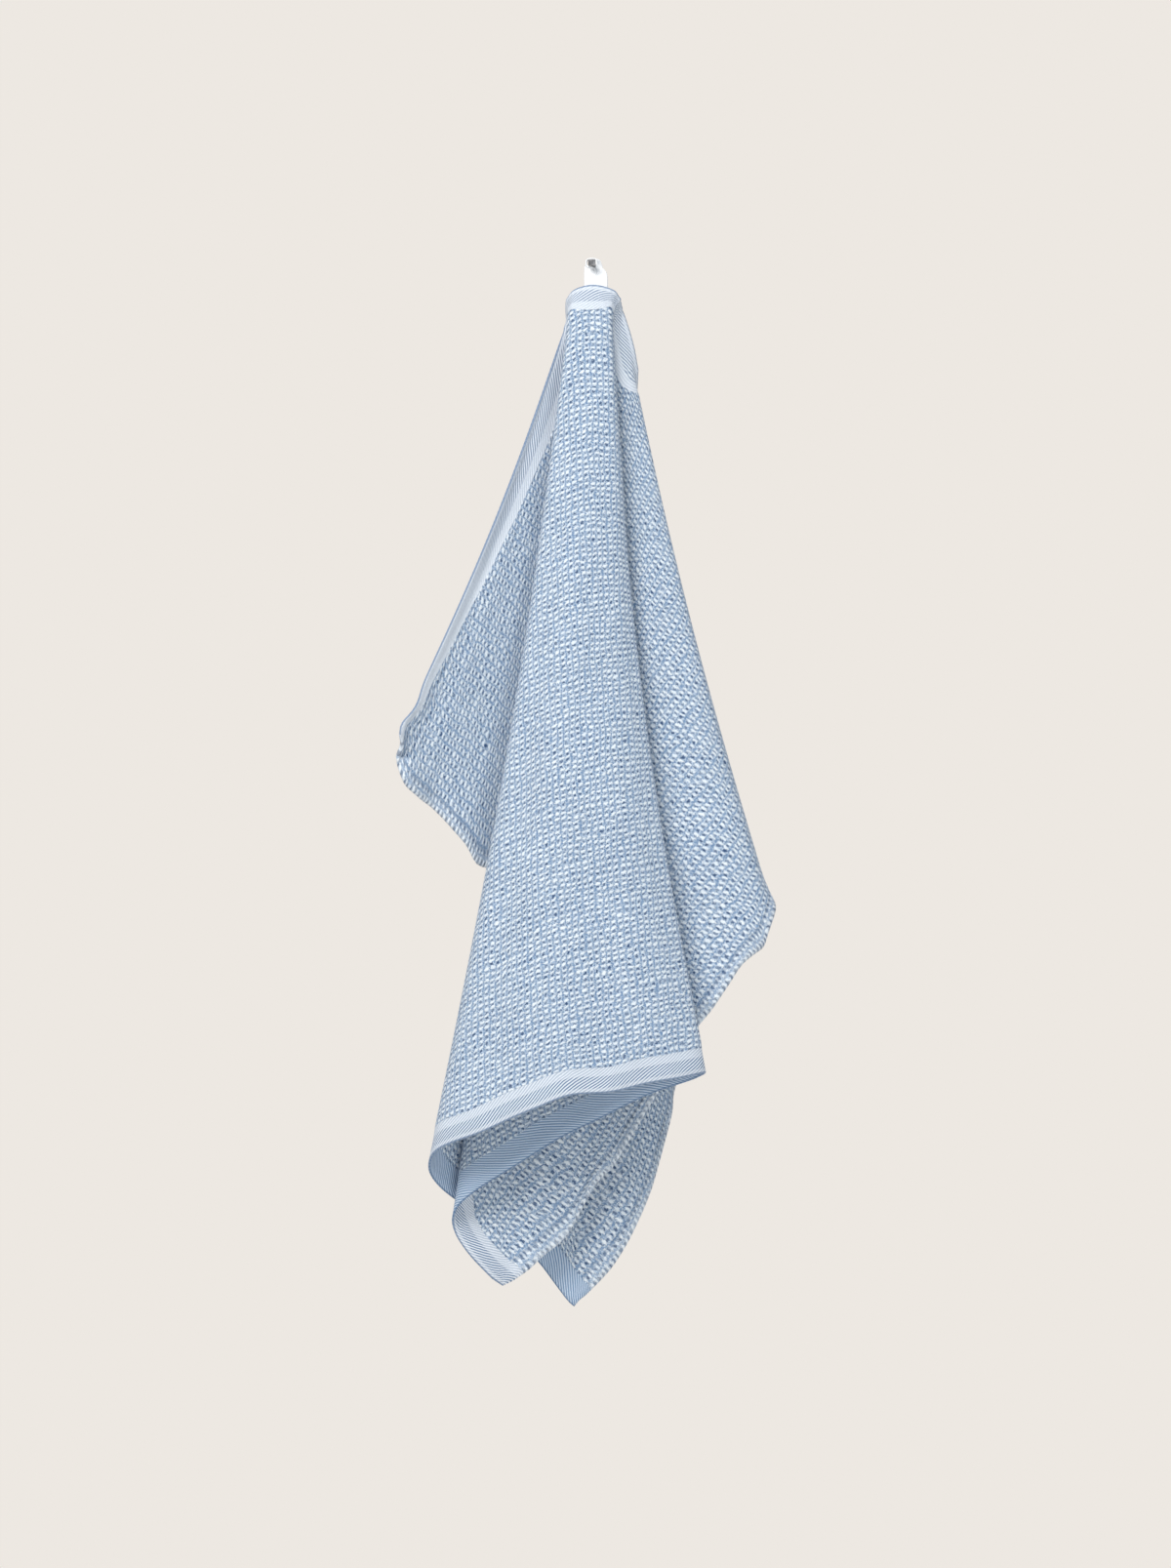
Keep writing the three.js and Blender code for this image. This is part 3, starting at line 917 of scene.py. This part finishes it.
def steel_finish(sizes):
    """Steel brushed along the strip, duller in its scratches."""
    finish = Finish("hook_steel")
    place, x, y, z = finish.object_place()
    stretched = finish.vector(x * GRAIN_FINE, y * GRAIN_LONG, z * GRAIN_LONG)
    grain = finish.noise(stretched, 1.0, 4.0)
    cloud = finish.noise(place, CLOUD_SCALE, 3.0)
    bright = tuple(sizes.steel)
    dark = tuple(channel * 0.55 for channel in bright)
    finish.feed("Base Color", (grain * 0.7 + cloud * 0.3).step(0.3, 0.7).colour(dark, bright))
    finish.feed("Roughness", grain.between(0.26, 0.48))
    finish.bump(grain, 0.00004, 0.4)
    finish.set(Metallic=1.0)
    return finish.material


def select_only(piece, kind, wanted):
    """In edit mode, selects just the faces or edges for which wanted(element) holds."""
    shape = bmesh.from_edit_mesh(piece.data)
    elements = getattr(shape, kind)
    for element in elements:
        element.select_set(False)
    for element in elements:
        if wanted(element):
            element.select_set(True)
    bmesh.update_edit_mesh(piece.data)


def draw_out(x, y, z):
    """Extrudes the selected faces by an offset."""
    bpy.ops.mesh.extrude_region_move(TRANSFORM_OT_translate={"value": (x, y, z)})


class TOWEL_OT_bend_hook(Operator):
    """Bend the steel hook from one strip"""
    bl_idname = "towel.bend_hook"
    bl_label = "Bend the hook"

    FACING = 0.9
    NARROWING_STEPS = 8
    BEND_STEPS = 8
    CORNER_SEGMENTS = 6
    EASING_SEGMENTS = 3
    TOUCHING = 1e-6
    LEVEL_MARGIN = 1e-5
    SHARP = math.radians(50)
    SMOOTH = math.radians(40)

    def execute(self, context):
        sizes = context.scene.towel_hook
        piece = self.cut_plate(context, sizes)
        bpy.ops.object.mode_set(mode="EDIT")
        bpy.ops.mesh.select_mode(type="FACE")
        self.narrow_to_neck(piece, sizes)
        self.bend_arm(piece, sizes)
        self.ease_edges(piece, sizes)
        bpy.ops.object.mode_set(mode="OBJECT")
        bpy.ops.object.shade_smooth_by_angle(angle=self.SMOOTH)
        piece.data.materials.append(steel_finish(sizes))
        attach(piece, ROOT)
        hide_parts("hook")
        return {"FINISHED"}

    @staticmethod
    def cut_plate(context, sizes):
        """The flat plate on the wall."""
        bpy.ops.object.select_all(action="DESELECT")
        height = sizes.plate_top - HOOK_LOW.z
        bpy.ops.mesh.primitive_cube_add(
            size=1, location=(0, -sizes.strip / 2, HOOK_LOW.z + height / 2),
            scale=(sizes.plate_width, sizes.strip, height))
        piece = context.object
        piece.name = piece.data.name = "hook_strip"
        bpy.ops.object.transform_apply(location=True, rotation=True, scale=True)
        return piece

    def narrow_to_neck(self, piece, sizes):
        """Draws the plate's top edge up into the narrow neck."""
        select_only(piece, "faces", lambda face: face.normal.z > self.FACING)
        width = sizes.plate_width
        rise = (sizes.neck_bottom - sizes.plate_top) / self.NARROWING_STEPS
        for step in range(1, self.NARROWING_STEPS + 1):
            ease = 0.5 - 0.5 * math.cos(math.pi * step / self.NARROWING_STEPS)
            wanted = sizes.plate_width + (sizes.neck_width - sizes.plate_width) * ease
            draw_out(0, 0, rise)
            level = (0, -sizes.strip / 2, sizes.plate_top + rise * step)
            bpy.ops.transform.resize(value=(wanted / width, 1, 1), center_override=level)
            width = wanted

    def bend_arm(self, piece, sizes):
        """Bends the neck out from the wall into the arm and turns up its lip."""
        bend_start = sizes.arm_bottom - sizes.bend_radius
        draw_out(0, 0, bend_start - sizes.neck_bottom)
        centre = (0, -sizes.strip - sizes.bend_radius, bend_start)
        bpy.ops.mesh.spin(
            steps=self.BEND_STEPS, angle=math.radians(-90), center=centre, axis=(1, 0, 0))
        arm_start = sizes.strip + sizes.bend_radius
        reach = -HOOK_LOW.y
        for length in (reach - sizes.strip - arm_start, sizes.strip):
            draw_out(0, -length, 0)
        select_only(piece, "faces", lambda face: face.normal.z > self.FACING
                    and face.calc_center_median().y < -reach + sizes.strip)
        draw_out(0, 0, HOOK_HIGH.z - sizes.arm_bottom - sizes.strip)

    def ease_edges(self, piece, sizes):
        """Rounds the plate's lower corners and eases every sharp edge."""
        bpy.ops.mesh.select_all(action="SELECT")
        bpy.ops.mesh.remove_doubles(threshold=self.TOUCHING)
        bpy.ops.mesh.normals_make_consistent(inside=False)
        bpy.ops.mesh.select_mode(type="EDGE")
        lowest = HOOK_LOW.z + self.LEVEL_MARGIN
        select_only(piece, "edges", lambda edge: all(v.co.z < lowest for v in edge.verts)
                    and abs(edge.verts[0].co.y - edge.verts[1].co.y) > sizes.strip / 2)
        bpy.ops.mesh.bevel(offset=sizes.corner, segments=self.CORNER_SEGMENTS, affect="EDGES")
        select_only(piece, "edges",
                    lambda edge: edge.is_manifold and edge.calc_face_angle() > self.SHARP)
        bpy.ops.mesh.bevel(offset=sizes.easing, segments=self.EASING_SEGMENTS, affect="EDGES")


def add_light(name, place, target, size, power, colour):
    """A square soft light at a place, turned to its target."""
    light = bpy.data.lights.new(name, "AREA")
    light.size = size
    light.energy = power
    light.color = colour
    lamp = bpy.data.objects.new(name, light)
    lamp.location = place
    lamp.rotation_euler = (Vector(target) - Vector(place)).to_track_quat("-Z", "Y").to_euler()
    bpy.context.collection.objects.link(lamp)


class TOWEL_OT_set_stage(Operator):
    """Set up the floor, the soft light and the camera"""
    bl_idname = "towel.set_stage"
    bl_label = "Set the stage"

    PICTURE_MIDDLE = (-0.0039, -0.2817)
    CLOTH_DEPTH = 0.045
    SENSOR = 36.0
    FLOOR_SIZE = 6.0
    FLOOR_SQUARES = 8
    FLOOR_GLOW = 0.24
    GLOW_STRENGTH = 0.40

    # Soft lights. Columns: name, place, size, power, colour.
    LIGHTS = (
        ("key", (-1.05, -1.95, 1.9), 1.5, 83.0, (1.0, 0.99, 0.98)),
        ("fill", (1.4, -2.7, -0.6), 1.6, 21.0, (0.93, 0.975, 1.0)),
        ("back", (0.7, 2.4, 1.7), 2.4, 55.0, (1.0, 0.99, 0.98)),
    )

    def execute(self, context):
        settings = context.scene.towel_stage
        paper = tuple(settings.paper)
        bpy.ops.object.select_all(action="DESELECT")
        bpy.ops.mesh.primitive_grid_add(
            x_subdivisions=self.FLOOR_SQUARES, y_subdivisions=self.FLOOR_SQUARES,
            size=self.FLOOR_SIZE, location=(0, 0, -settings.floor_drop))
        floor = context.object
        floor.name = floor.data.name = "pale_floor"
        bpy.ops.object.transform_apply(location=True, rotation=True, scale=True)
        floor.data.materials.append(self.floor_finish(paper))
        self.set_world(context.scene, paper, tuple(settings.glow))

        middle = (self.PICTURE_MIDDLE[0], -self.CLOTH_DEPTH, self.PICTURE_MIDDLE[1])
        for name, place, size, power, colour in self.LIGHTS:
            add_light(name, place, middle, size, power, colour)
        camera = bpy.data.cameras.new("camera")
        camera.sensor_width = self.SENSOR
        camera.lens = self.SENSOR * settings.view_distance / settings.view_height
        camera.clip_end = 100.0
        seat = bpy.data.objects.new("camera", camera)
        seat.location = (middle[0], middle[1] - settings.view_distance, middle[2])
        seat.rotation_euler = (math.radians(90), 0, 0)
        context.collection.objects.link(seat)
        context.scene.camera = seat
        return {"FINISHED"}

    def floor_finish(self, paper):
        """Plain pale floor that gives off a little light of its own."""
        finish = Finish("pale_floor")
        place, *_ = finish.object_place()
        cloud = finish.noise(place, 3.0, 3.0)
        dim = tuple(channel * 0.94 for channel in paper)
        finish.feed("Base Color", cloud.colour(dim, paper))
        finish.set(Roughness=0.9, Emission_Color=(*paper, 1.0), Emission_Strength=self.FLOOR_GLOW)
        return finish.material

    def set_world(self, scene, paper, glow):
        """Pale paper to the eye, with a softer and cooler light on the object."""
        world = bpy.data.worlds.new("pale_paper")
        scene.world = world
        world.use_nodes = True
        tree = world.node_tree
        start = Wire(tree, None)
        seen = start.node("ShaderNodeLightPath", {}, {}, "Is Camera Ray")
        strength = seen * (1.0 - self.GLOW_STRENGTH) + self.GLOW_STRENGTH
        background = tree.nodes["Background"]
        tree.links.new(seen.colour(glow, paper).socket, background.inputs["Color"])
        tree.links.new(strength.socket, background.inputs["Strength"])
        scene.view_settings.view_transform = "Standard"


class TOWEL_PT_sidebar(Panel):
    """The towel's pieces, in the order in which they are made"""
    bl_label = "Towel on a hook"
    bl_idname = "TOWEL_PT_sidebar"
    bl_space_type = "VIEW_3D"
    bl_region_type = "UI"
    bl_category = "Towel"

    def draw(self, context):
        scene = context.scene
        groups = (scene.towel_sizes, scene.towel_loop, scene.towel_hook, scene.towel_stage)
        for group, operator in zip(groups, OPERATORS):
            box = self.layout.box()
            box.operator(operator.bl_idname)
            for name in group.__annotations__:
                box.prop(group, name)


OPERATORS = (TOWEL_OT_hang_cloth, TOWEL_OT_sew_loop, TOWEL_OT_bend_hook, TOWEL_OT_set_stage)
GROUPS = {
    "towel_sizes": TowelSizes,
    "towel_loop": LoopSizes,
    "towel_hook": HookSizes,
    "towel_stage": StageSettings,
}


def register():
    for group in GROUPS.values():
        bpy.utils.register_class(group)
    for name, group in GROUPS.items():
        setattr(bpy.types.Scene, name, PointerProperty(type=group))
    for operator in OPERATORS:
        bpy.utils.register_class(operator)
    bpy.utils.register_class(TOWEL_PT_sidebar)


def unregister():
    bpy.utils.unregister_class(TOWEL_PT_sidebar)
    for operator in reversed(OPERATORS):
        bpy.utils.unregister_class(operator)
    for name in GROUPS:
        delattr(bpy.types.Scene, name)
    for group in reversed(GROUPS.values()):
        bpy.utils.unregister_class(group)


def main():
    register()
    bpy.ops.towel.hang_cloth()
    bpy.ops.towel.sew_loop()
    bpy.ops.towel.bend_hook()
    bpy.ops.towel.set_stage()


if __name__ == "__main__":
    main()
